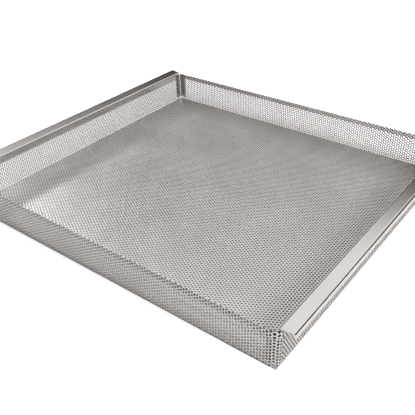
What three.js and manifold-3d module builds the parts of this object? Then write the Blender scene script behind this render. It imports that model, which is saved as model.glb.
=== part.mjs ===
// Perforated strainer tray with two hanger rails, as used on beekeeping benches.
//
// The body is one blank of perforated stainless sheet, folded up on four sides. Its
// panels are separate meshes here, split along the fold lines, so that each one is a
// simple sheet. Two plain sheet rails hang over the left and right walls, and a plain
// angle bracket closes each corner from the inside.
//
// Millimetres, +Z up. The origin is the middle of the underside of the floor.
// X runs across the two rails, Y runs along them, and the front is -Y.

import * as THREE from 'three';
import { mergeVertices } from 'three/addons/utils/BufferGeometryUtils.js';
import Module from 'manifold-3d';

const wasm = await Module();
wasm.setup();

// ---------------------------------------------------------------- driving dimensions

const BODY_WIDTH = 486; // X, outside of the left wall to outside of the right wall
const BODY_DEPTH = 450; // Y, outside of the front wall to outside of the back wall
const END_WALL_HEIGHT = 47; // underside of the floor to the top of the front and back walls
const SIDE_WALL_HEIGHT = 48.5; // and to the top of the left and right walls
const BODY_SHEET = 1; // thickness of the perforated sheet
const FLOOR_FOLD = 1; // inside radius of the fold between the floor and a wall
const CORNER_RADIUS = 7; // outside radius of the upright corners
const CORNER_TAB = 3; // flat that the front and back walls carry past each corner
const HEM_HEIGHT = 8; // top edge of the front and back walls, folded back outside
const HEM_GAP = 0.4; // slit left between the two layers of the hem

const RAIL_SHEET = 1.2; // thickness of the rail sheet
const RAIL_BEND = 0.3; // inside radius of the rail's two bends, sharp enough to clear the wall's edge
const RAIL_LEG = 10; // leg that lies against the inside of the wall
const RAIL_OVERHANG = 15.5; // wall's outside face to the rail's outer face
const RAIL_LIP = 7; // outer edge turned down
const RAIL_RISE = 2.5; // how far the flange climbs from the wall to the lip
const RAIL_SETBACK = 4; // rail's end behind the outside of the front or back wall

const BRACKET_SHEET = 1; // thickness of a corner bracket
const BRACKET_LEG = 12; // length of each of its two legs
const BRACKET_LIFT = 5; // bracket's lower end above the underside of the floor

const CLEARANCE = 0.3; // gap kept between neighbouring pieces
const ARC_STEPS = 6; // segments in a quarter turn

// ---------------------------------------------------------------- derived places

const halfWidth = BODY_WIDTH / 2;
const halfDepth = BODY_DEPTH / 2;
const floorFoldOutside = FLOOR_FOLD + BODY_SHEET;
const cornerCentreX = halfWidth - CORNER_RADIUS;
const cornerCentreY = halfDepth - CORNER_RADIUS;
const sideWallLength = 2 * (cornerCentreY - CORNER_TAB - CLEARANCE);
const bracketInset = BODY_SHEET + CLEARANCE; // wall's outside face to the bracket's back
const hemProud = HEM_GAP + BODY_SHEET; // hem's outer face past the wall's outside face
const railUnderside = SIDE_WALL_HEIGHT + CLEARANCE;
const railTop = railUnderside + RAIL_SHEET;
const railLength = BODY_DEPTH - 2 * RAIL_SETBACK;
const railLegLength = 2 * (halfDepth - bracketInset - BRACKET_LEG - CLEARANCE);

// ---------------------------------------------------------------- materials

const perforatedSteel = { color: 0xb9b5b1, roughness: 0.45, metalness: 0.9 };
const polishedSteel = { color: 0xd8d4d1, roughness: 0.18, metalness: 1 };
const bracketSteel = { color: 0x8e898a, roughness: 0.3, metalness: 1 };

// ---------------------------------------------------------------- sections

// Outline of a folded strip: a centre line with round bends, thickened by half the sheet
// on both sides. Corners are [x, y, inside radius of the bend], and the ends have no bend.
// A corner on a straight stretch only divides it. The outline runs anticlockwise.
function foldedStrip(corners, thickness) {
  const points = corners.map(([x, y]) => new THREE.Vector2(x, y));
  const centreLine = [];
  points.forEach((corner, i) => {
    const arriving = direction(points[i - 1] ?? corner, i === 0 ? points[1] : corner);
    const leaving = direction(corner, points[i + 1] ?? corner);
    if (i === 0 || i === points.length - 1) {
      centreLine.push({ point: corner, travel: arriving });
      return;
    }
    const radius = corners[i][2] + thickness / 2;
    const turn = Math.atan2(arriving.cross(leaving), arriving.dot(leaving));
    const setback = radius * Math.tan(Math.abs(turn) / 2);
    const start = corner.clone().addScaledVector(arriving, -setback);
    const centre = start.clone().addScaledVector(leftOf(arriving), Math.sign(turn) * radius);
    for (let step = 0; step <= ARC_STEPS; step += 1) {
      const angle = (turn * step) / ARC_STEPS;
      centreLine.push({
        point: start.clone().rotateAround(centre, angle),
        travel: arriving.clone().rotateAround(new THREE.Vector2(), angle),
      });
    }
  });
  const offset = (distance) => ({ point, travel }) => (
    point.clone().addScaledVector(leftOf(travel), distance)
  );
  const left = centreLine.map(offset(thickness / 2));
  const right = centreLine.map(offset(-thickness / 2));
  return withoutRepeats([...right, ...left.reverse()]);
}

function direction(from, to) {
  return to.clone().sub(from).normalize();
}

function leftOf(travel) {
  return new THREE.Vector2(-travel.y, travel.x);
}

// Where two bends meet, or a bend meets an end, the same point is listed twice.
function withoutRepeats(outline) {
  const nearness = 1e-6;
  return outline.filter((point, i) => {
    const previous = outline[(i + outline.length - 1) % outline.length];
    return point.distanceTo(previous) > nearness;
  });
}

// Sections of the walls, with x pointing out of the tray from the wall's outside face and
// y up. The foot either bends into the floor or is cut off square.
const wallMiddle = -BODY_SHEET / 2;
const foldedFoot = [
  [-floorFoldOutside, BODY_SHEET / 2],
  [wallMiddle, BODY_SHEET / 2, FLOOR_FOLD],
];
const squareFoot = [[wallMiddle, 0]];

function hemmedSection(foot) {
  const crest = END_WALL_HEIGHT - BODY_SHEET / 2;
  const returned = wallMiddle + BODY_SHEET + HEM_GAP;
  return foldedStrip([
    ...foot,
    [wallMiddle, crest, HEM_GAP / 2],
    [returned, crest, HEM_GAP / 2],
    [returned, END_WALL_HEIGHT - HEM_HEIGHT],
  ], BODY_SHEET);
}

function plainSection(foot) {
  return foldedStrip([...foot, [wallMiddle, SIDE_WALL_HEIGHT]], BODY_SHEET);
}

// ---------------------------------------------------------------- solids

// Each pair of triangles is numbered as one face, and a join or a cut keeps the edges
// between faces, so a face that is divided on purpose stays divided.
function toManifold(geometry) {
  const bare = geometry.clone();
  bare.deleteAttribute('normal');
  bare.deleteAttribute('uv');
  const merged = mergeVertices(bare, 1e-4);
  const triangleCount = merged.index.count / 3;
  return new wasm.Manifold(new wasm.Mesh({
    numProp: 3,
    vertProperties: new Float32Array(merged.attributes.position.array),
    triVerts: new Uint32Array(merged.index.array),
    faceID: Uint32Array.from({ length: triangleCount }, (_, i) => Math.floor(i / 2)),
  }));
}

function toGeometry(solid) {
  const mesh = solid.getMesh();
  const geometry = new THREE.BufferGeometry();
  geometry.setAttribute('position', new THREE.BufferAttribute(mesh.vertProperties, 3));
  geometry.setIndex(new THREE.BufferAttribute(mesh.triVerts, 1));
  geometry.computeVertexNormals();
  return geometry;
}

function joined(geometries) {
  const solids = geometries.map(toManifold);
  return toGeometry(solids.reduce((sum, solid) => sum.add(solid)));
}

// Sweeps an upright section along stations on the ground. A station has a place and an
// outward direction. The section's x runs outward from the place, and its y runs up.
function sweep(section, stations) {
  const positions = [];
  stations.forEach(({ place, outward }) => {
    section.forEach(({ x, y }) => {
      positions.push(place.x + outward.x * x, place.y + outward.y * x, y);
    });
  });
  const count = section.length;
  const indices = [];
  for (let s = 0; s < stations.length - 1; s += 1) {
    for (let i = 0; i < count; i += 1) {
      const a = s * count + i;
      const b = s * count + ((i + 1) % count);
      indices.push(a, b, a + count, b, b + count, a + count);
    }
  }
  const last = (stations.length - 1) * count;
  THREE.ShapeUtils.triangulateShape(section, []).forEach(([a, b, c]) => {
    indices.push(a, c, b);
    indices.push(last + a, last + b, last + c);
  });
  const geometry = new THREE.BufferGeometry();
  geometry.setAttribute('position', new THREE.Float32BufferAttribute(positions, 3));
  geometry.setIndex(indices);
  geometry.computeVertexNormals();
  return geometry;
}

// A straight run of a wall whose outside faces the given direction, centred on that side.
function straightStations(outward, distance, length) {
  const along = new THREE.Vector2(outward.y, -outward.x);
  return [-length / 2, length / 2].map((offset) => ({
    place: outward.clone().multiplyScalar(distance).addScaledVector(along, offset),
    outward,
  }));
}

// ---------------------------------------------------------------- body panels

function floorPanel() {
  const inset = floorFoldOutside + CLEARANCE;
  const x = halfWidth - inset;
  const y = halfDepth - inset;
  const radius = CORNER_RADIUS - inset;
  const outline = new THREE.Shape();
  outline.moveTo(-x + radius, -y);
  outline.absarc(x - radius, -y + radius, radius, -Math.PI / 2, 0);
  outline.absarc(x - radius, y - radius, radius, 0, Math.PI / 2);
  outline.absarc(-x + radius, y - radius, radius, Math.PI / 2, Math.PI);
  outline.absarc(-x + radius, -y + radius, radius, Math.PI, 1.5 * Math.PI);
  return new THREE.ExtrudeGeometry(outline, {
    depth: BODY_SHEET,
    bevelEnabled: false,
    curveSegments: ARC_STEPS,
  });
}

// The front or back wall: a hemmed sheet, folded to the floor along its straight run and
// bent round the upright corner at both ends.
function endWall(facing) {
  const outward = new THREE.Vector2(0, facing);
  const run = straightStations(outward, halfDepth, 2 * cornerCentreX);
  const corners = [-1, 1].map((side) => cornerStations(side, facing));
  return joined([
    sweep(hemmedSection(foldedFoot), run),
    ...corners.map((stations) => sweep(hemmedSection(squareFoot), stations)),
  ]);
}

// Stations round one upright corner and along its tab. They are walked so that the
// outside of the wall stays on the same hand as along the straight run.
function cornerStations(side, facing) {
  const centre = new THREE.Vector2(side * cornerCentreX, facing * cornerCentreY);
  const stations = [];
  for (let step = 0; step <= ARC_STEPS; step += 1) {
    const angle = (Math.PI / 2) * (step / ARC_STEPS);
    const outward = new THREE.Vector2(side * Math.sin(angle), facing * Math.cos(angle));
    stations.push({ place: centre.clone().addScaledVector(outward, CORNER_RADIUS), outward });
  }
  stations.push({
    place: new THREE.Vector2(side * halfWidth, facing * (cornerCentreY - CORNER_TAB)),
    outward: new THREE.Vector2(side, 0),
  });
  return side === facing ? stations : stations.reverse();
}

function sideWall(facing) {
  const run = straightStations(new THREE.Vector2(facing, 0), halfWidth, sideWallLength);
  return sweep(plainSection(foldedFoot), run);
}

// ---------------------------------------------------------------- rails and brackets

// A rail: a leg against the inside of the wall, a flange that climbs a little outward over
// the wall's top edge, and a lip turned down at the outer edge. The leg stops short of the
// corner brackets. The flange's underside is divided where it clears the hems, so that its
// outer stretch is a face of its own: the seat that the rim of a tank can reach.
function hangerRail(facing) {
  const outward = new THREE.Vector2(facing, 0);
  const half = RAIL_SHEET / 2;
  const leg = -(BODY_SHEET + CLEARANCE + half);
  const seat = hemProud + CLEARANCE;
  const lip = RAIL_OVERHANG - half;
  const level = (x) => railTop - half + (RAIL_RISE * (x - leg)) / (lip - leg);
  const section = foldedStrip([
    [leg, railTop - RAIL_LEG],
    [leg, level(leg), RAIL_BEND],
    [seat, level(seat), 0],
    [lip, level(lip), RAIL_BEND],
    [lip, railTop + RAIL_RISE - RAIL_LIP],
  ], RAIL_SHEET);
  const rail = toManifold(sweep(section, straightStations(outward, halfWidth, railLength)));
  const notchLength = (railLength - railLegLength) / 2;
  const notchWidth = BODY_SHEET + CLEARANCE + 2 * RAIL_SHEET;
  const notchCentre = facing * (halfWidth - notchWidth / 2);
  const notched = [-1, 1].reduce((solid, end) => {
    const notch = new THREE.BoxGeometry(notchWidth, 2 * notchLength, 2 * RAIL_LEG);
    notch.translate(notchCentre, end * (railLegLength / 2 + notchLength), railUnderside - RAIL_LEG);
    return solid.subtract(toManifold(notch));
  }, rail);
  return toGeometry(notched);
}

function cornerBracket(sideX, sideY) {
  const middle = bracketInset + BRACKET_SHEET / 2;
  const tip = bracketInset + BRACKET_LEG;
  const outsideRadius = CORNER_RADIUS - bracketInset;
  const x = (inset) => sideX * (halfWidth - inset);
  const y = (inset) => sideY * (halfDepth - inset);
  const outline = foldedStrip([
    [x(tip), y(middle)],
    [x(middle), y(middle), outsideRadius - BRACKET_SHEET],
    [x(middle), y(tip)],
  ], BRACKET_SHEET);
  const geometry = new THREE.ExtrudeGeometry(new THREE.Shape(outline), {
    depth: END_WALL_HEIGHT - CLEARANCE - BRACKET_LIFT,
    bevelEnabled: false,
  });
  geometry.translate(0, 0, BRACKET_LIFT);
  return geometry;
}

// ---------------------------------------------------------------- assembly

const tray = new THREE.Group();

function addPiece(name, geometry, finish) {
  const mesh = new THREE.Mesh(geometry, new THREE.MeshStandardMaterial(finish));
  mesh.name = name;
  tray.add(mesh);
}

addPiece('floor_panel', floorPanel(), perforatedSteel);
addPiece('front_wall', endWall(-1), perforatedSteel);
addPiece('back_wall', endWall(1), perforatedSteel);
addPiece('left_wall', sideWall(-1), perforatedSteel);
addPiece('right_wall', sideWall(1), perforatedSteel);
addPiece('left_rail', hangerRail(-1), polishedSteel);
addPiece('right_rail', hangerRail(1), polishedSteel);
[['front', -1], ['back', 1]].forEach(([end, sideY]) => {
  [['left', -1], ['right', 1]].forEach(([side, sideX]) => {
    addPiece(`bracket_${end}_${side}`, cornerBracket(sideX, sideY), bracketSteel);
  });
});

export default tray;
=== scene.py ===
"""Looks of the perforated strainer tray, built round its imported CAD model.

The body is one blank of perforated sheet. Its panels are cut here from one staggered
pattern of round holes, in the coordinates of the flat blank, and are then folded to the
CAD's panels, so that the rows of holes run on round every fold. The plain rails and
corner brackets are cut and folded in the same way.

Metres, +Z up. X runs across the two rails, Y runs along them, and the front is -Y.
"""

import math
from collections import defaultdict

import bpy
import numpy as np
from mathutils import Matrix, Vector


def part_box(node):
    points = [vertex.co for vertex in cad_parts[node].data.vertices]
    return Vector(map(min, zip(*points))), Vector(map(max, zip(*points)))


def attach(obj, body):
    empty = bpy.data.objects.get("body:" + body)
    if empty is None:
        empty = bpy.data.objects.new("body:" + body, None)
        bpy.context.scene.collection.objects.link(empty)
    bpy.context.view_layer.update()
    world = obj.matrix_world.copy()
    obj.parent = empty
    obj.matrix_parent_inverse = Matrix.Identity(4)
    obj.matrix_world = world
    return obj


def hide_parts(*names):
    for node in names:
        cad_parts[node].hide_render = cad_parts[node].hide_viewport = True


MM = 0.001
QUARTER = math.pi / 2

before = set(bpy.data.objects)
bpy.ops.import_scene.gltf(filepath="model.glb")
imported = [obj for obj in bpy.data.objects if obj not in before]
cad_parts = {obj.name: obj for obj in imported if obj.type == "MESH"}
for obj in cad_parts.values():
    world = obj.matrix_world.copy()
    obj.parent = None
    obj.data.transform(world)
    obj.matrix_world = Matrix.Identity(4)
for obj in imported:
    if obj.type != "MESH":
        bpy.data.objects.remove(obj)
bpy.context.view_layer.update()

# ------------------------------------------------------------------ sizes from the frame

_, floor_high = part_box("floor_panel")
wall_low, wall_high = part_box("right_wall")
_, end_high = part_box("back_wall")
rail_low, rail_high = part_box("right_rail")
bracket_low, bracket_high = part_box("bracket_back_right")

SHEET = floor_high.z
HALF_WIDTH = wall_high.x
SIDE_WALL_TOP = wall_high.z
END_WALL_TOP = end_high.z
FLOOR_FOLD = wall_high.x - wall_low.x - SHEET  # inside radius between floor and wall
CORNER_RADIUS = 7 * MM  # outside radius of the upright corners
CORNER_TAB = 3 * MM  # flat that the end walls carry past each corner
HEM_HEIGHT = 8 * MM
HEM_GAP = 0.4 * MM
HALF_DEPTH = end_high.y - HEM_GAP - SHEET

RAIL_SHEET = 1.2 * MM
RAIL_BEND = 0.8 * MM  # inside radius over the wall
RAIL_LIP_BEND = 1.8 * MM
RAIL_LIP = 7 * MM
RAIL_LEG = 10 * MM
RAIL_RISE = 2.5 * MM  # how far the flange climbs from the wall to the lip
RAIL_LEG_GAP = 0.3 * MM  # between the end of the rail's leg and the corner bracket
RAIL_STATION = 12 * MM  # spacing of the edges across the rail

BRACKET_SHEET = 1 * MM
BRACKET_BEND = 4.7 * MM
TRIMMED = 1.2 * MM  # radius of the trimmed corners of rails and brackets

BEND_STEPS = 6  # flat facets in a bend
TRIM_STEPS = 4  # and in a trimmed corner
SHARP_ANGLE = math.radians(40)  # edges folded by more than this shade as sharp
EDGE_ROLL = 0.18 * MM  # width of the softened cut edges
FLAT_MARGIN = 0.15 * MM  # a crease this far from a bend keeps the shading of the flat level
NEAR = 1e-9  # points closer than this to a line are on it
MERGE_GRID = 1e-7  # points in one cell of this size are the same point

# ------------------------------------------------------------------ camera

CAMERA_PLACE = Vector((0.4275, -0.5551, 0.4304))
CAMERA_TARGET = Vector((0.0231, -0.0424, 0.0))
CAMERA_ROLL = math.radians(-1.63)
CAMERA_LENS = 51.0  # mm, on the usual 36 mm sensor


def add_camera():
    data = bpy.data.cameras.new("camera")
    data.lens = CAMERA_LENS
    camera = bpy.data.objects.new("camera", data)
    look = (CAMERA_TARGET - CAMERA_PLACE).to_track_quat("-Z", "Y").to_matrix().to_4x4()
    roll = Matrix.Rotation(CAMERA_ROLL, 4, "Z")
    camera.matrix_world = Matrix.Translation(CAMERA_PLACE) @ look @ roll
    bpy.context.scene.collection.objects.link(camera)
    bpy.context.scene.camera = camera


add_camera()

# ------------------------------------------------------------------ perforated pattern

PITCH = 4 * MM  # between the middles of neighbouring holes
HOLE_RADIUS = 1.5 * MM
ROW_SPACING = PITCH * math.sqrt(3) / 2
FLOOR_STRIPS = 5  # the floor's mesh is divided, to keep each part light


def web_between_holes(low, high):
    """The metal between round holes, as convex polygons {corners: array of polygons}.

    Close-packed rows of holes run along y, and the origin lies midway between two holes.
    Each hole has twelve corners, so neighbouring holes face each other with a corner. The
    metal between three holes is a triangle, and a quad towards each neighbouring web.
    """
    columns, rows = np.meshgrid(
        np.arange(math.floor(low[0] / ROW_SPACING) - 1, math.ceil(high[0] / ROW_SPACING) + 2),
        np.arange(math.floor(low[1] / PITCH) - 2, math.ceil(high[1] / PITCH) + 3),
        indexing="ij",
    )
    shift = np.where(columns % 2 == 0, 0.5, 0.0)
    centres = np.stack([columns * ROW_SPACING, (rows + shift) * PITCH], axis=-1).reshape(-1, 2)
    triangles, quads = [], []
    sixth = math.pi / 6
    for side in (0.0, math.pi):
        holes = [(0.0, 0.0)]
        holes += [polar(PITCH, side - sixth), polar(PITCH, side + sixth)]
        arcs = []
        for turn, hole in enumerate(holes):
            facing = side + turn * 2 * math.pi / 3
            arcs.append([
                np.add(hole, polar(HOLE_RADIUS, facing + offset)) for offset in (sixth, 0, -sixth)
            ])
        triangles.append([arc[1] for arc in arcs])
        for one, other in ((0, 1), (1, 2), (2, 0)):
            quads.append([arcs[one][1], arcs[one][2], arcs[other][0], arcs[other][1]])
    return {
        3: np.concatenate([centres[:, None, :] + np.array(shape) for shape in triangles]),
        4: np.concatenate([centres[:, None, :] + np.array(shape) for shape in quads]),
    }


def polar(radius, angle):
    return (radius * math.cos(angle), radius * math.sin(angle))


def plain_sheet(low, high):
    """A rectangle without holes, in the same form."""
    corners = [(low[0], low[1]), (high[0], low[1]), (high[0], high[1]), (low[0], high[1])]
    return {4: np.array([corners])}


# ------------------------------------------------------------------ cutting flat sheet


def cut(shapes, direction, distance):
    """Divides the polygons that cross the line at a distance from the origin."""
    pieces = defaultdict(list)
    for corners, polygons in shapes.items():
        offsets = polygons @ np.array(direction) - distance
        crossing = (offsets.min(axis=1) < -NEAR) & (offsets.max(axis=1) > NEAR)
        pieces[corners].append(polygons[~crossing])
        for polygon, offset in zip(polygons[crossing], offsets[crossing]):
            for half in halves(polygon, offset):
                pieces[len(half)].append(half[None])
    return {corners: np.concatenate(parts) for corners, parts in pieces.items()}


def halves(polygon, offsets):
    """The two parts of a convex polygon whose corners lie at offsets from a line."""
    parts = ([], [])
    for i, (corner, offset) in enumerate(zip(polygon, offsets)):
        following, after = polygon[(i + 1) % len(polygon)], offsets[(i + 1) % len(polygon)]
        if offset <= NEAR:
            parts[0].append(corner)
        if offset >= -NEAR:
            parts[1].append(corner)
        if min(offset, after) < -NEAR and max(offset, after) > NEAR:
            # The same point comes out from both sides of a shared edge.
            ends = sorted([(tuple(corner), offset), (tuple(following), after)])
            (start, before), (end, beyond) = ends
            share = before / (before - beyond)
            point = np.array(start) + share * (np.array(end) - np.array(start))
            parts[0].append(point)
            parts[1].append(point)
    return [np.array(part) for part in parts if len(part) > 2]


def keep(shapes, direction, distance):
    """The part of a sheet on the near side of the line at a distance from the origin."""
    kept = {}
    for corners, polygons in cut(shapes, direction, distance).items():
        middles = polygons.mean(axis=1) @ np.array(direction)
        kept[corners] = polygons[middles < distance]
    return kept


def trim(shapes, low, high):
    """The part of a sheet inside a rectangle."""
    for axis, direction in enumerate(np.eye(2)):
        shapes = keep(shapes, direction, high[axis])
        shapes = keep(shapes, -direction, -low[axis])
    return shapes


def round_corner(shapes, centre, radius, quadrant, steps=BEND_STEPS):
    """Cuts a corner of a sheet round. quadrant is the corner's signs of x and y."""
    for step in range(1, steps):
        angle = QUARTER * step / steps
        direction = np.multiply(quadrant, polar(1, angle))
        shapes = keep(shapes, direction, np.dot(centre, direction) + radius)
    return shapes


# ------------------------------------------------------------------ folding


def fold_line(start, heading, stretches):
    """The line that a strip follows when it is folded, seen edge on.

    A stretch is (length, turn), and the turn is spread over its length. The rows of the
    result are the distance along the strip, the two coordinates and the heading.
    """
    points = [(0.0, *start, heading)]
    for length, turn in stretches:
        steps = BEND_STEPS if turn else 1
        half_turn = turn / steps / 2
        chord = length / steps * (math.sin(half_turn) / half_turn if turn else 1)
        for _ in range(steps):
            travelled, x, y, angle = points[-1]
            points.append((
                travelled + length / steps,
                x + chord * math.cos(angle + half_turn),
                y + chord * math.sin(angle + half_turn),
                angle + 2 * half_turn,
            ))
    return np.array(points).T


def follow(line, distances):
    """Coordinates and heading at distances along a fold line."""
    return [np.interp(distances, line[0], row) for row in line[1:]]


def margins(line):
    """Distances just outside the bends of a fold line, on its flat stretches."""
    distances, _, _, headings = line
    is_bent = np.abs(np.diff(headings)) > NEAR
    starts = is_bent & ~np.concatenate([[False], is_bent[:-1]])
    ends = is_bent & ~np.concatenate([is_bent[1:], [False]])
    before = distances[:-1][starts] - FLAT_MARGIN
    after = distances[1:][ends] + FLAT_MARGIN
    return [*before, *after]


def bend(radius, turn):
    """A stretch that bends at a radius to the middle of the sheet."""
    return (radius * abs(turn), turn)


def setback(radius, turn):
    """How much of each flat beside a bend the bend takes up, measured from their corner."""
    return radius * math.tan(abs(turn) / 2)


# ------------------------------------------------------------------ sheet meshes

BAKE_RIM = 0.4 * MM  # how far a map shows the side of a hole inside the hole's outline


def sheet_mesh(name, sheets, thickness, edge_slot=0):
    """A closed mesh from folded sheets, given as (shapes, place) pairs.

    place turns points of the flat sheet into points midway through the folded sheet and
    the directions of its upper side. Sheets that meet edge to edge become one. edge_slot
    is the material slot of the cut edges.
    """
    flats, middles, normals, faces = [], [], [], []
    count = 0
    for shapes, place in sheets:
        for corners, polygons in shapes.items():
            flat = polygons.reshape(-1, 2)
            middle, normal = place(flat)
            flats.append(flat)
            middles.append(middle)
            normals.append(normal)
            faces.append(count + np.arange(len(flat)).reshape(-1, corners))
            count += len(flat)
    middle = np.concatenate(middles)
    _, first, shared = np.unique(
        np.round(middle / MERGE_GRID).astype(np.int64), axis=0,
        return_index=True, return_inverse=True,
    )
    shared = shared.ravel()
    faces = [shared[group] for group in faces]
    middle = middle[first]
    flat = np.concatenate(flats)[first]
    normal = np.concatenate(normals)[first]
    total = len(first)

    start = np.concatenate([group.ravel() for group in faces])
    end = np.concatenate([np.roll(group, -1, axis=1).ravel() for group in faces])
    is_rim = ~np.isin(start * total + end, end * total + start)
    rim = np.stack([start[is_rim], end[is_rim]], axis=1)

    lower, upper = middle - normal * thickness / 2, middle + normal * thickness / 2
    sides = np.concatenate([rim, rim[:, ::-1] + total], axis=1)
    loops = [group[:, ::-1] for group in faces] + [group + total for group in faces] + [sides]
    vertices = np.concatenate([lower, upper])
    mesh = mesh_from_faces(name, vertices, loops)
    slots = np.zeros(len(mesh.polygons), np.int32)
    slots[-len(sides):] = edge_slot
    mesh.polygons.foreach_set("material_index", slots)
    add_bake_map(mesh, flat, rim, faces)
    return mesh


def mesh_from_faces(name, vertices, loops):
    """A mesh from arrays of faces, with all faces of one array having as many corners."""
    corners = np.concatenate([group.ravel() for group in loops])
    sizes = np.concatenate([np.full(len(group), group.shape[1]) for group in loops])
    starts = np.concatenate([[0], np.cumsum(sizes)[:-1]])
    mesh = bpy.data.meshes.new(name)
    mesh.vertices.add(len(vertices))
    mesh.vertices.foreach_set("co", vertices.astype(np.float32).ravel())
    mesh.loops.add(len(corners))
    mesh.loops.foreach_set("vertex_index", corners.astype(np.int32))
    mesh.polygons.add(len(sizes))
    mesh.polygons.foreach_set("loop_start", starts.astype(np.int32))
    mesh.update(calc_edges=True)
    mesh.polygons.foreach_set("use_smooth", np.ones(len(sizes), bool))
    mesh.set_sharp_from_angle(angle=SHARP_ANGLE)
    return mesh


def add_bake_map(mesh, flat, rim, faces):
    """Lays the two sides of the sheet out flat, one beside the other, in a UV map.

    The sides of the holes go just inside the outlines of the holes.
    """
    low, high = flat.min(axis=0), flat.max(axis=0)
    margin = 2 * BAKE_RIM
    extent = high - low + 2 * margin
    long, short = (0, 1) if extent[0] >= extent[1] else (1, 0)

    def spread(points):
        unit = (points - low + margin) / extent
        return np.stack([unit[:, long], unit[:, short] / 2], axis=1)

    along = flat[rim[:, 1]] - flat[rim[:, 0]]
    away = np.stack([along[:, 1], -along[:, 0]], axis=1)
    outward = np.zeros_like(flat)
    np.add.at(outward, rim[:, 0], away)
    np.add.at(outward, rim[:, 1], away)
    length = np.linalg.norm(outward, axis=1, keepdims=True)
    outward /= np.where(length > 0, length, 1)

    top = spread(flat)
    beneath = top + (0, 0.5)
    inside = spread(flat + outward * BAKE_RIM)
    corners = [beneath[group[:, ::-1]].reshape(-1, 2) for group in faces]
    corners += [top[group].reshape(-1, 2) for group in faces]
    side = np.stack([inside[rim[:, 0]], inside[rim[:, 1]], top[rim[:, 1]], top[rim[:, 0]]], axis=1)
    corners.append(side.reshape(-1, 2))
    layer = mesh.uv_layers.new(name="OFBake")
    layer.data.foreach_set("uv", np.concatenate(corners).astype(np.float32).ravel())


def add_piece(mesh, materials, slot, *nodes):
    piece = bpy.data.objects.new(mesh.name, mesh)
    bpy.context.scene.collection.objects.link(piece)
    for material in materials:
        mesh.materials.append(material)
    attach(piece, "root")
    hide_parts(*nodes)
    return piece


# ------------------------------------------------------------------ material nodes


class Nodes:
    """Short calls for building a material's nodes."""

    def __init__(self, tree):
        self.tree = tree
        tree.nodes.clear()

    def add(self, kind, inputs=(), **settings):
        node = self.tree.nodes.new(kind)
        for name, value in settings.items():
            setattr(node, name, value)
        for key, value in dict(inputs).items():
            if isinstance(value, bpy.types.NodeSocket):
                self.tree.links.new(value, node.inputs[key])
            else:
                node.inputs[key].default_value = value
        return node

    def ramp(self, factor, stops):
        """A colour ramp. A stop is a position and a grey or a colour."""
        stops = list(stops)
        node = self.add("ShaderNodeValToRGB", {"Fac": factor})
        elements = node.color_ramp.elements
        while len(elements) < len(stops):
            elements.new(0.5)
        for element, (position, colour) in zip(elements, stops):
            element.position = position
            grey = (colour, colour, colour)
            element.color = (*(grey if isinstance(colour, float) else colour), 1.0)
        return node.outputs["Color"]

    def math(self, operation, a, b=0.0):
        node = self.add("ShaderNodeMath", {0: a, 1: b}, operation=operation)
        return node.outputs["Value"]

    def dot(self, a, b):
        node = self.add("ShaderNodeVectorMath", {0: a, 1: b}, operation="DOT_PRODUCT")
        return node.outputs["Value"]

    def blend(self, factor, a, b):
        """The colour a where factor is 0, and b where it is 1."""
        inputs = {0: factor, 6: a, 7: b}  # the node's colour sockets
        return self.add("ShaderNodeMix", inputs, data_type="RGBA").outputs[2]

    def noise(self, scale, stretch=(1, 1, 1), detail=4.0):
        """Noise over the object's own place, scale per metre, squeezed by stretch."""
        place = self.add("ShaderNodeTexCoord").outputs["Object"]
        mapped = self.add("ShaderNodeMapping", {"Vector": place, "Scale": stretch})
        inputs = {"Vector": mapped.outputs["Vector"], "Scale": scale, "Detail": detail}
        return self.add("ShaderNodeTexNoise", inputs).outputs["Fac"]


def blank_material(name):
    material = bpy.data.materials.new(name)
    material.use_nodes = True
    return material, Nodes(material.node_tree)


CLOUD_SCALE = 14.0  # per metre
GRAIN_SCALE = 900.0
CLOUD_RANGE = (0.3, 0.7)  # the noise values between which a material changes
CLOUD_SHARE, GRAIN_SHARE = 0.6, 0.4  # of the wear that dulls the sheet
GRAIN_DEPTH = 0.02 * MM
# Painted shade: the walls of the holes are coloured dark so that the holes read as shaded; their
# dull roughness is the torn edge's own.
PUNCHED_SHADE_COLOUR = (0.20, 0.185, 0.18, 1.0)
PUNCHED_METALLIC = 0.8
PUNCHED_ROUGHNESS = 0.55


def steel(name, tone, roughness, grain, bump, metallic=1.0):
    """Rolled stainless sheet.

    tone is a pair of colours and roughness a pair of values, between which soft clouds
    move the sheet. grain is the stretch of the fine rolling lines along x, y and z.
    """
    material, nodes = blank_material(name)
    clouds = nodes.noise(CLOUD_SCALE, detail=3.0)
    lines = nodes.noise(GRAIN_SCALE, stretch=grain, detail=2.0)
    colour = nodes.ramp(clouds, zip(CLOUD_RANGE, tone))
    cloud_wear = nodes.math("MULTIPLY", clouds, CLOUD_SHARE)
    grain_wear = nodes.math("MULTIPLY", lines, GRAIN_SHARE)
    worn = nodes.math("ADD", cloud_wear, grain_wear)
    dulled = nodes.ramp(worn, zip(CLOUD_RANGE, roughness))
    relief = nodes.add("ShaderNodeBump", {
        "Strength": bump,
        "Distance": GRAIN_DEPTH,
        "Height": lines,
    })
    shader = nodes.add("ShaderNodeBsdfPrincipled", {
        "Base Color": colour,
        "Metallic": metallic,
        "Roughness": dulled,
        "Normal": relief.outputs["Normal"],
    })
    nodes.add("ShaderNodeOutputMaterial", {"Surface": shader.outputs["BSDF"]})
    return material


def punched_edge_painted_shade(name):
    """The torn, dull wall of a punched hole, coloured dark as painted shade inside the hole."""
    material, nodes = blank_material(name)
    shader = nodes.add("ShaderNodeBsdfPrincipled", {
        "Base Color": PUNCHED_SHADE_COLOUR,
        "Metallic": PUNCHED_METALLIC,
        "Roughness": PUNCHED_ROUGHNESS,
    })
    nodes.add("ShaderNodeOutputMaterial", {"Surface": shader.outputs["BSDF"]})
    return material


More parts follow.
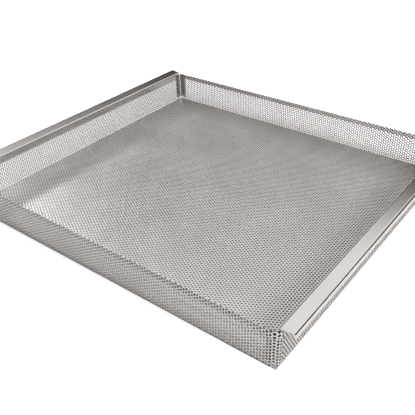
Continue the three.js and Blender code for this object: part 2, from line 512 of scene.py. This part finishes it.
perforated_steel = steel(
    "perforated_steel",
    tone=[(0.76, 0.72, 0.705), (0.84, 0.80, 0.785)],
    roughness=[0.40, 0.54],
    grain=(1, 0.04, 1),
    bump=0.25,
    metallic=0.8,
)
perforated_steels = [perforated_steel, punched_edge_painted_shade("punched_edge_painted_shade")]
rail_steel = steel(
    "rail_steel",
    tone=[(0.71, 0.665, 0.65), (0.76, 0.715, 0.70)],
    roughness=[0.10, 0.17],
    grain=(1, 0.02, 1),
    bump=0.03,
)
bracket_steel = steel(
    "bracket_steel",
    tone=[(0.50, 0.47, 0.47), (0.60, 0.57, 0.57)],
    roughness=[0.20, 0.34],
    grain=(1, 1, 0.03),
    bump=0.15,
)

# ------------------------------------------------------------------ perforated body

FOLD_RADIUS = FLOOR_FOLD + SHEET / 2
REACH = np.array([HALF_WIDTH, HALF_DEPTH]) - FLOOR_FOLD - SHEET  # the flat of the floor
CORNER_CENTRE = np.array([HALF_WIDTH, HALF_DEPTH]) - CORNER_RADIUS
FOOT_HEIGHT = FLOOR_FOLD + SHEET
HEM_RADIUS = (HEM_GAP + SHEET) / 2
HEM_CENTRE = END_WALL_TOP - HEM_RADIUS - SHEET / 2
SIDE_WALL_END = wall_high.y


def wall_profile(hemmed):
    """A wall seen edge on, outward and upward from the middle of its sheet."""
    stretches = [bend(FOLD_RADIUS, QUARTER)]
    if hemmed:
        stretches += [
            (HEM_CENTRE - FOOT_HEIGHT, 0),
            bend(HEM_RADIUS, -2 * QUARTER),
            (HEM_CENTRE - (END_WALL_TOP - HEM_HEIGHT), 0),
        ]
    else:
        stretches += [(SIDE_WALL_TOP - FOOT_HEIGHT, 0)]
    return fold_line((-FOLD_RADIUS, SHEET / 2), 0.0, stretches)


def straightened_foot(profile):
    """The same wall where its foot isn't bent into the floor but goes straight down."""
    bent = profile[:, BEND_STEPS:].copy()
    foot = bent[:, 0].copy()
    foot[0] -= FOOT_HEIGHT
    foot[2] -= FOOT_HEIGHT
    return np.concatenate([foot[:, None], bent], axis=1)


def on_wall(axis, profile, plan):
    """The place function of the two walls that face along an axis."""

    def place(flat):
        facing = np.where(flat[:, axis] < 0, -1, 1)
        side = np.where(flat[:, 1 - axis] < 0, -1, 1)
        out, up, lean = follow(profile, np.abs(flat[:, axis]) - REACH[axis])
        along, away, heading = follow(plan, np.abs(flat[:, 1 - axis]))
        outward_along, outward_away = -np.sin(heading), np.cos(heading)
        middle = np.zeros((len(flat), 3))
        middle[:, 1 - axis] = side * (along + out * outward_along)
        middle[:, axis] = facing * (away + out * outward_away)
        middle[:, 2] = up
        normal = np.zeros((len(flat), 3))
        normal[:, 1 - axis] = side * -np.sin(lean) * outward_along
        normal[:, axis] = facing * -np.sin(lean) * outward_away
        normal[:, 2] = np.cos(lean)
        return middle, normal

    return place


def on_floor(flat):
    middle = np.column_stack([flat, np.full(len(flat), SHEET / 2)])
    return middle, np.tile((0.0, 0.0, 1.0), (len(flat), 1))


def creased(shapes, direction, distances):
    for distance in distances:
        shapes = cut(shapes, direction, distance)
    return shapes


def wall_sheet(axis, facing, profile, low, high, creases_along=()):
    """The holed sheet of a wall, creased where it bends.

    low and high are the sheet's ends along the wall, and it is as high as its profile.
    """
    across = np.eye(2)[axis] * facing
    along = np.eye(2)[1 - axis]
    near, far = REACH[axis] + profile[0, 0], REACH[axis] + profile[0, -1]
    ends = np.array([np.add(across * near, along * low), np.add(across * far, along * high)])
    corner_low, corner_high = ends.min(axis=0), ends.max(axis=0)
    shapes = trim(web_between_holes(corner_low, corner_high), corner_low, corner_high)
    shapes = creased(shapes, across, REACH[axis] + profile[0, 1:-1])
    return creased(shapes, along, creases_along)


def build_floor():
    edges = np.linspace(-REACH[0], REACH[0], FLOOR_STRIPS + 1)
    for number, (low, high) in enumerate(zip(edges[:-1], edges[1:]), start=1):
        corner_low, corner_high = (low, -REACH[1]), (high, REACH[1])
        shapes = trim(web_between_holes(corner_low, corner_high), corner_low, corner_high)
        for quadrant in ((-1, -1), (1, -1), (1, 1), (-1, 1)):
            centre = np.multiply(quadrant, CORNER_CENTRE)
            shapes = round_corner(shapes, centre, CORNER_RADIUS - FOOT_HEIGHT, quadrant)
        mesh = sheet_mesh(f"floor_sheet_{number}", [(shapes, on_floor)], SHEET, edge_slot=1)
        add_piece(mesh, perforated_steels, "perforated_sheet", "floor_panel")


def build_side_walls():
    profile = wall_profile(hemmed=False)
    plan = fold_line((0.0, HALF_WIDTH - SHEET / 2), 0.0, [(SIDE_WALL_END, 0)])
    for facing, node in ((-1, "left_wall"), (1, "right_wall")):
        shapes = wall_sheet(0, facing, profile, -SIDE_WALL_END, SIDE_WALL_END)
        sheets = [(shapes, on_wall(0, profile, plan))]
        mesh = sheet_mesh(node + "_sheet", sheets, SHEET, edge_slot=1)
        add_piece(mesh, perforated_steels, "perforated_sheet", node)


def build_end_walls():
    profile = wall_profile(hemmed=True)
    corner_profile = straightened_foot(profile)
    plan = fold_line((0.0, HALF_DEPTH - SHEET / 2), 0.0, [
        (CORNER_CENTRE[0], 0),
        bend(CORNER_RADIUS - SHEET / 2, -QUARTER),
        (CORNER_TAB, 0),
    ])
    run, tab_end = plan[0, 1], plan[0, -1]
    for facing, node in ((-1, "front_wall"), (1, "back_wall")):
        run_sheet = wall_sheet(1, facing, profile, -run, run)
        sheets = [(run_sheet, on_wall(1, profile, plan))]
        for side in (-1, 1):
            low, high = sorted((side * run, side * tab_end))
            creases = side * plan[0, 2:-1]
            corner = wall_sheet(1, facing, corner_profile, low, high, creases)
            sheets.append((corner, on_wall(1, corner_profile, plan)))
        mesh = sheet_mesh(node + "_sheet", sheets, SHEET, edge_slot=1)
        add_piece(mesh, perforated_steels, "perforated_sheet", node)


build_floor()
build_side_walls()
build_end_walls()

# ------------------------------------------------------------------ rails and brackets


def soften_edges(piece):
    """Rolls the cut edges of a plain sheet over a little."""
    bevel = piece.modifiers.new("soft_edges", "BEVEL")
    bevel.width = EDGE_ROLL
    bevel.segments = 2
    bevel.limit_method = "ANGLE"
    bevel.angle_limit = SHARP_ANGLE
    bevel.harden_normals = False


def build_rails():
    half = RAIL_SHEET / 2
    radius = RAIL_BEND + half
    lip_radius = RAIL_LIP_BEND + half
    leg_place = rail_low.x + half
    lip_place = rail_high.x - half
    climb = math.atan2(RAIL_RISE, lip_place - leg_place)
    onto_flange, off_flange = QUARTER - climb, QUARTER + climb
    at_wall, at_lip = setback(radius, onto_flange), setback(lip_radius, off_flange)
    profile = fold_line((leg_place, rail_low.z), QUARTER, [
        (RAIL_LEG - half - at_wall, 0),
        bend(radius, -onto_flange),
        (math.hypot(lip_place - leg_place, RAIL_RISE) - at_wall - at_lip, 0),
        bend(lip_radius, -off_flange),
        (RAIL_LIP - half - at_lip, 0),
    ])
    leg_length, full_length = profile[0, 1], profile[0, -1]
    rail_end = rail_high.y
    leg_end = bracket_low.y - RAIL_LEG_GAP

    for facing, node in ((-1, "left_rail"), (1, "right_rail")):

        def on_rail(flat):
            out, up, lean = follow(profile, np.abs(flat[:, 0]))
            middle = np.column_stack([facing * out, flat[:, 1], up])
            along = np.zeros(len(flat))
            normal = np.column_stack([facing * -np.sin(lean), along, np.cos(lean)])
            return middle, normal

        low, high = sorted((0.0, facing * full_length))
        shapes = plain_sheet((low, -rail_end), (high, rail_end))
        shapes = creased(shapes, (facing, 0), [*profile[0, 1:-1], *margins(profile)])
        shapes = creased(shapes, (0, 1), (-leg_end, leg_end))
        stations = np.arange(RAIL_STATION, leg_end, RAIL_STATION)
        shapes = creased(shapes, (0, 1), [*-stations[::-1], 0, *stations])
        # The leg stops short of the corner brackets.
        middles = shapes[4].mean(axis=1)
        beyond_leg = (np.abs(middles[:, 0]) < leg_length) & (np.abs(middles[:, 1]) > leg_end)
        shapes = {4: shapes[4][~beyond_leg]}
        for end in (-1, 1):
            centre = (facing * (full_length - TRIMMED), end * (rail_end - TRIMMED))
            shapes = round_corner(shapes, centre, TRIMMED, (facing, end), steps=TRIM_STEPS)
        mesh = sheet_mesh(node + "_sheet", [(shapes, on_rail)], RAIL_SHEET)
        piece = add_piece(mesh, [rail_steel], "rail_sheet", node)
        soften_edges(piece)


def build_brackets():
    radius = BRACKET_BEND + BRACKET_SHEET / 2
    high, low = bracket_high, bracket_low
    far_x, far_y = high.x - BRACKET_SHEET / 2, high.y - BRACKET_SHEET / 2
    plan = fold_line((low.x, far_y), 0.0, [
        (far_x - radius - low.x, 0),
        bend(radius, -QUARTER),
        (far_y - radius - low.y, 0),
    ])
    length = plan[0, -1]
    ends = (("front", -1), ("back", 1))
    sides = (("left", -1), ("right", 1))
    for (end, side_y), (side, side_x) in [(e, s) for e in ends for s in sides]:
        turned = side_x * side_y

        def on_bracket(flat):
            x, y, heading = follow(plan, np.abs(flat[:, 0]))
            middle = np.column_stack([side_x * x, side_y * y, flat[:, 1]])
            normal = np.column_stack([
                side_x * np.sin(heading), side_y * -np.cos(heading), np.zeros(len(flat)),
            ])
            return middle, normal

        start, stop = sorted((0.0, turned * length))
        shapes = plain_sheet((start, low.z), (stop, high.z))
        shapes = creased(shapes, (turned, 0), [*plan[0, 1:-1], *margins(plan)])
        for at_end, at_top in ((0, 0), (1, 0), (0, 1), (1, 1)):
            centre = (
                turned * (length - TRIMMED if at_end else TRIMMED),
                high.z - TRIMMED if at_top else low.z + TRIMMED,
            )
            quadrant = (turned * (2 * at_end - 1), 2 * at_top - 1)
            shapes = round_corner(shapes, centre, TRIMMED, quadrant, steps=TRIM_STEPS)
        node = f"bracket_{end}_{side}"
        mesh = sheet_mesh(node + "_sheet", [(shapes, on_bracket)], BRACKET_SHEET)
        piece = add_piece(mesh, [bracket_steel], "bracket_sheet", node)
        soften_edges(piece)


build_rails()
build_brackets()

# ------------------------------------------------------------------ studio

FLOOR_SIZE = 12.0
WHITE = (1.0, 1.0, 1.0, 1.0)
FLOOR_COLOUR = (0.93, 0.93, 0.93, 1.0)
PAINTED_SHADOW_COLOUR = (0.50, 0.47, 0.46, 1.0)  # of the floor under the tray: a painted shadow of the tray, seen through its holes
FLOOR_GLOW = 0.5  # lifts the floor to white, for the camera only

DOME_LIGHT = 4.5
ROOM_LIGHT = 0.01  # of the dome's
DOME_LEAN = (-0.1, 0.6, 0.79)  # the dome is bright overhead and behind
DOME_EDGE = [(0.45, 0.0), (0.75, 1.0)]  # brightness against the lean
OVERHEAD_EDGE = [(0.69, 0.0), (0.82, 0.67), (0.92, 1.0)]  # brightness against height

PANEL_CENTRE = Vector((-0.46, 1.02, 1.0))
PANEL_TURN = math.radians(-14)
PANEL_SIZE = 3.0
PANEL_LIGHT = 1.0
# Brightness along the panel's own two axes, against the distance from its centre.
PANEL_ACROSS = [(-0.80, 0.0), (-0.745, 0.03), (-0.70, 0.06), (-0.66, 0.22), (-0.45, 1.0)]
PANEL_ALONG = [(0.25, 1.0), (0.50, 0.84), (0.76, 0.30), (1.0, 0.03)]

KEY_PLACE = Vector((1.5, -0.2, 1.25))
KEY_SIZE = 0.6
KEY_POWER = 24.0

FILL_PLACE = Vector((-1.6, 0.3, 1.4))
FILL_SIZE = 0.6
FILL_POWER = 36.0


def add_square(name, size, corner_order):
    """A level square of the studio, with an empty material. Returns it and its nodes."""
    mesh = bpy.data.meshes.new(name)
    half = size / 2
    corners = [(-half, -half, 0), (half, -half, 0), (half, half, 0), (-half, half, 0)]
    mesh.from_pydata(corners, [], [corner_order])
    square = bpy.data.objects.new(name, mesh)
    bpy.context.scene.collection.objects.link(square)
    material, nodes = blank_material(name)
    mesh.materials.append(material)
    return square, nodes


FACING_UP = (0, 1, 2, 3)
FACING_DOWN = (0, 3, 2, 1)


def add_studio_floor():
    """A pale floor with the tray's shadow painted on it under the tray, where the tray's holes
    show it.
    """
    _, nodes = add_square("studio_floor", FLOOR_SIZE, FACING_UP)
    place = nodes.add("ShaderNodeTexCoord").outputs["Object"]
    axes = nodes.add("ShaderNodeSeparateXYZ", {"Vector": place}).outputs
    across = nodes.math("DIVIDE", nodes.math("ABSOLUTE", axes["X"]), HALF_WIDTH)
    along = nodes.math("DIVIDE", nodes.math("ABSOLUTE", axes["Y"]), HALF_DEPTH)
    beyond = nodes.math("GREATER_THAN", nodes.math("MAXIMUM", across, along), 1.0)
    seen = nodes.add("ShaderNodeLightPath").outputs["Is Camera Ray"]
    glow = nodes.math("MULTIPLY", nodes.math("MULTIPLY", beyond, seen), FLOOR_GLOW)
    shader = nodes.add("ShaderNodeBsdfPrincipled", {
        # The colour under the tray's footprint is a painted shadow, not the floor's own colour.
        "Base Color": nodes.blend(beyond, PAINTED_SHADOW_COLOUR, FLOOR_COLOUR),
        "Roughness": 1.0,
        "Specular IOR Level": 0.0,
        "Emission Color": WHITE,
        "Emission Strength": glow,
    })
    nodes.add("ShaderNodeOutputMaterial", {"Surface": shader.outputs["BSDF"]})


def add_sky():
    """A bright studio dome over a dark room, which the rails reflect at low angles."""
    world = bpy.data.worlds.new("studio")
    bpy.context.scene.world = world
    world.use_nodes = True
    nodes = Nodes(world.node_tree)
    direction = nodes.add("ShaderNodeTexCoord").outputs["Generated"]
    height = nodes.add("ShaderNodeSeparateXYZ", {"Vector": direction}).outputs["Z"]
    above = nodes.ramp(height, OVERHEAD_EDGE)
    behind = nodes.ramp(nodes.dot(direction, DOME_LEAN), DOME_EDGE)
    light = nodes.ramp(nodes.math("MULTIPLY", above, behind), [(0.0, ROOM_LIGHT), (1.0, 1.0)])
    seen = nodes.add("ShaderNodeLightPath").outputs["Is Camera Ray"]
    shown = nodes.blend(seen, light, WHITE)
    background = nodes.add("ShaderNodeBackground", {"Color": shown, "Strength": DOME_LIGHT})
    nodes.add("ShaderNodeOutputWorld", {"Surface": background.outputs["Background"]})


def fade(nodes, place, stops):
    """Brightness along one axis of the panel, from stops in metres."""
    low, high = stops[0][0], stops[-1][0]
    share = nodes.math("DIVIDE", nodes.math("SUBTRACT", place, low), high - low)
    return nodes.ramp(share, [((at - low) / (high - low), value) for at, value in stops])


def add_panel():
    """A softbox that the flanges reflect: dark to the left, and fading away behind."""
    panel, nodes = add_square("panel", PANEL_SIZE, FACING_DOWN)
    panel.matrix_world = Matrix.Translation(PANEL_CENTRE) @ Matrix.Rotation(PANEL_TURN, 4, "Z")
    place = nodes.add("ShaderNodeTexCoord").outputs["Object"]
    axes = nodes.add("ShaderNodeSeparateXYZ", {"Vector": place}).outputs
    across = fade(nodes, axes["X"], PANEL_ACROSS)
    along = fade(nodes, axes["Y"], PANEL_ALONG)
    lit = nodes.math("MULTIPLY", across, along)
    glow = nodes.add("ShaderNodeEmission", {"Color": WHITE, "Strength": PANEL_LIGHT})
    clear = nodes.add("ShaderNodeBsdfTransparent")
    mixed = nodes.add("ShaderNodeMixShader", {
        0: lit,
        1: clear.outputs["BSDF"],
        2: glow.outputs["Emission"],
    })
    nodes.add("ShaderNodeOutputMaterial", {"Surface": mixed.outputs["Shader"]})


def add_softbox(name, place, size, power):
    """A square light aimed at the middle of the tray."""
    data = bpy.data.lights.new(name, "AREA")
    data.size = size
    data.energy = power
    softbox = bpy.data.objects.new(name, data)
    turn = (-place).to_track_quat("-Z", "Y").to_matrix().to_4x4()
    softbox.matrix_world = Matrix.Translation(place) @ turn
    bpy.context.scene.collection.objects.link(softbox)


add_studio_floor()
add_sky()
add_panel()
add_softbox("key_light", KEY_PLACE, KEY_SIZE, KEY_POWER)
add_softbox("fill_light", FILL_PLACE, FILL_SIZE, FILL_POWER)
bpy.context.scene.view_settings.view_transform = "Standard"
